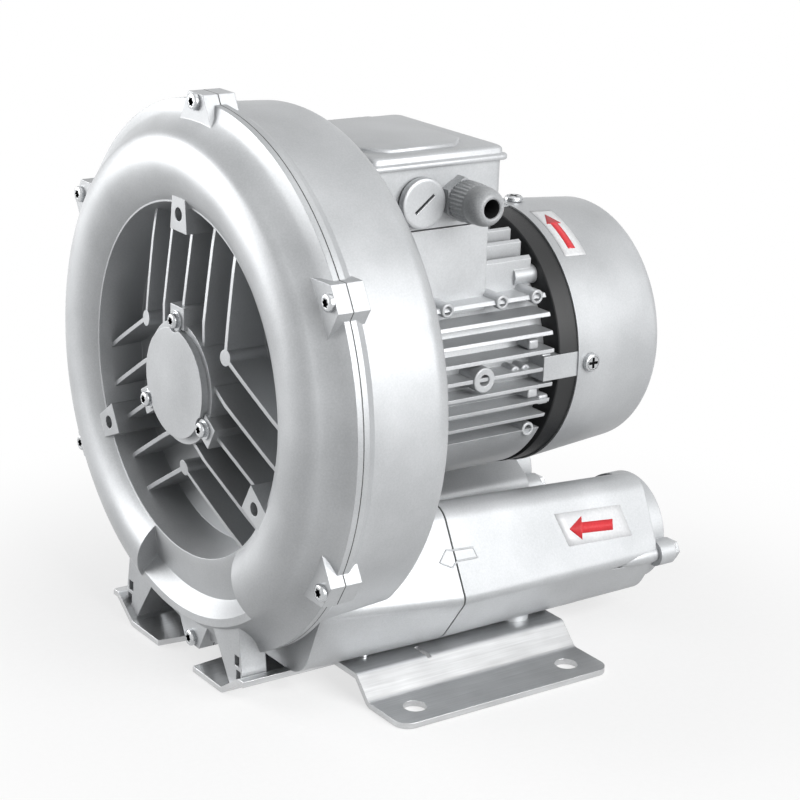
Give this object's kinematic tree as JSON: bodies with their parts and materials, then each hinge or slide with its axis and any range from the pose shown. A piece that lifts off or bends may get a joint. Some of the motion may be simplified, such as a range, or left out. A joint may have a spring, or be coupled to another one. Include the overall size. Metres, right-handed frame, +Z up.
{
  "type": "side channel blower",
  "caption": "Compact side channel blower: ribbed impeller cover, finned motor with terminal box, two silencers with threaded ports on a folded base plate.",
  "frame": {"origin": "floor level, at the centre of the four foot holes", "axes": "+Z up, +Y along the shaft from the impeller cover to the fan, +X to the inlet side with the cable gland"},
  "size_m": [0.2756, 0.2603, 0.2906],
  "materials": {
    "black_paint": "satin",
    "board_plastic": "matte",
    "brass": "gloss",
    "bright_steel": "gloss",
    "cast_grey": "satin",
    "copper": "satin",
    "core_steel": "matte",
    "fan_plastic": "matte",
    "foam": "matte",
    "gland_plastic": "satin",
    "impeller_aluminium": "satin",
    "machined_steel": "satin",
    "plate_steel": "satin",
    "seal_rubber": "matte"
  },
  "bodies": {
    "housing": {"base_plate": "plate_steel", "base_screws": "bright_steel", "bearing_cap": "cast_grey", "blanking_plug": "gland_plastic", "cable_gland_body": "gland_plastic", "cap_screws": "bright_steel", "cap_washers": "bright_steel", "casing_gasket": "seal_rubber", "casing_screws": "bright_steel", "cowl_screws": "bright_steel", "end_shield": "black_paint", "fan_cowl": "cast_grey", "frame_screws": "bright_steel", "front_bearing_outer_ring": "bright_steel", "gland_nut": "gland_plastic", "gland_seal": "seal_rubber", "impeller_cover": "cast_grey", "inlet_foam_sleeve": "foam", "inlet_port_flange": "cast_grey", "inlet_silencer": "cast_grey", "inlet_silencer_gasket": "seal_rubber", "inlet_tie_bolts": "bright_steel", "lid_gasket": "seal_rubber", "motor_frame": "cast_grey", "outlet_foam_sleeve": "foam", "outlet_port_flange": "cast_grey", "outlet_silencer": "cast_grey", "outlet_silencer_gasket": "seal_rubber", "outlet_tie_bolts": "bright_steel", "pedestal_gasket": "seal_rubber", "plug_o_ring": "seal_rubber", "rear_bearing_outer_ring": "bright_steel", "rear_casing": "cast_grey", "shaft_seal": "seal_rubber", "shield_screws": "bright_steel", "stator_core": "core_steel", "stator_windings": "copper", "terminal_board": "board_plastic", "terminal_box": "cast_grey", "terminal_lid": "cast_grey", "terminal_nuts": "brass", "terminal_studs": "brass", "wave_spring": "machined_steel"},
    "rotor": {"cooling_fan": "fan_plastic", "front_bearing_inner_ring": "bright_steel", "impeller": "impeller_aluminium", "impeller_key": "machined_steel", "impeller_nut": "machined_steel", "rear_bearing_inner_ring": "bright_steel", "rotor_core": "core_steel", "shaft": "machined_steel"},
    "front_cage": {"front_bearing_balls": "bright_steel"},
    "rear_cage": {"rear_bearing_balls": "bright_steel"}
  },
  "joints": [
    {"name": "rotor_spin", "type": "hinge", "parent": "housing", "child": "rotor", "pos_m": [0, 0, 0.148], "axis": [0, 1, 0], "continuous": true},
    {"name": "front_cage_spin", "type": "hinge", "parent": "housing", "child": "front_cage", "pos_m": [0, -0.108, 0.148], "axis": [0, 1, 0], "continuous": true},
    {"name": "rear_cage_spin", "type": "hinge", "parent": "housing", "child": "rear_cage", "pos_m": [0, 0.0695, 0.148], "axis": [0, 1, 0], "continuous": true}
  ],
  "couplings": [
    {"joint": "front_cage_spin", "follows": "rotor_spin", "ratio": 0.3836},
    {"joint": "rear_cage_spin", "follows": "rotor_spin", "ratio": 0.384}
  ]
}
